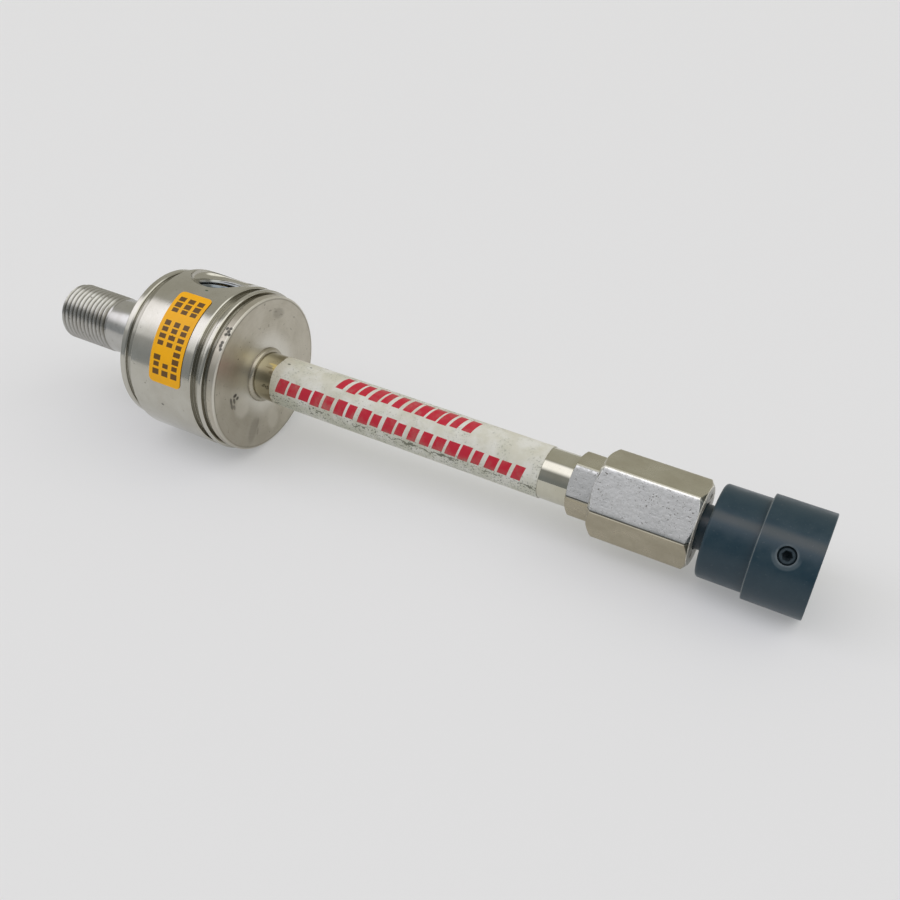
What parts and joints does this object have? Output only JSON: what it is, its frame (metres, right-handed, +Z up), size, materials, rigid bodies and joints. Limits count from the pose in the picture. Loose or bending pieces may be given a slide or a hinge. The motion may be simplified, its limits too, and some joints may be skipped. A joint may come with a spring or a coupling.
{
  "type": "vortex tube",
  "caption": "Round steel body with a side inlet and a threaded cold outlet, a long hot tube, and a hexagonal cone valve with a dark knob; splits compressed air into cold and hot streams.",
  "frame": {"origin": "bottom centre of the part's box, on the table that it lies on", "axes": "+X from the cold nipple towards the knob along the table, +Z up; the tube's axis dips a little towards the knob"},
  "size_m": [0.2128, 0.0432, 0.0445],
  "materials": {
    "turned_steel": "satin, turned",
    "tube_steel": "satin, drawn",
    "hex_steel": "satin, drawn bar",
    "dark_steel": "black oxide",
    "braze": "dull",
    "brass": "satin",
    "seal": "matt",
    "knob_plastic": "satin",
    "wrap_vinyl": "worn, satin",
    "label_vinyl": "satin"
  },
  "bodies": {
    "housing": {"body": "turned_steel", "cold_cap": "turned_steel", "cold_nipple": "turned_steel", "cold_cap_o_ring": "seal", "orifice_disc": "brass", "vortex_generator": "brass", "generator_o_ring": "seal", "hot_cap": "turned_steel", "hot_cap_o_ring": "seal", "hot_tube": "tube_steel", "tube_bead": "braze", "spin_stopper": "brass", "tube_fitting": "hex_steel", "valve_seat": "brass", "valve_body": "hex_steel", "tube_label": "wrap_vinyl", "body_label": "label_vinyl"},
    "stem_seal": {"stem_o_ring": "seal"},
    "valve": {"valve_stem": "hex_steel", "knob": "knob_plastic", "knob_set_screw": "dark_steel"}
  },
  "joints": [
    {"name": "valve_travel", "type": "slide", "parent": "housing", "child": "stem_seal", "axis": [0.9981, 0, -0.0615], "range_m": [-0.002, 0.003]},
    {"name": "knob_turn", "type": "hinge", "parent": "stem_seal", "child": "valve", "pos_m": [0.08613, 0, 0.01351], "axis": [0.9981, 0, -0.0615], "range_deg": [-722, 1082]}
  ],
  "couplings": [
    {"joint": "knob_turn", "follows": "valve_travel", "rad_per_m": 6283.2}
  ]
}
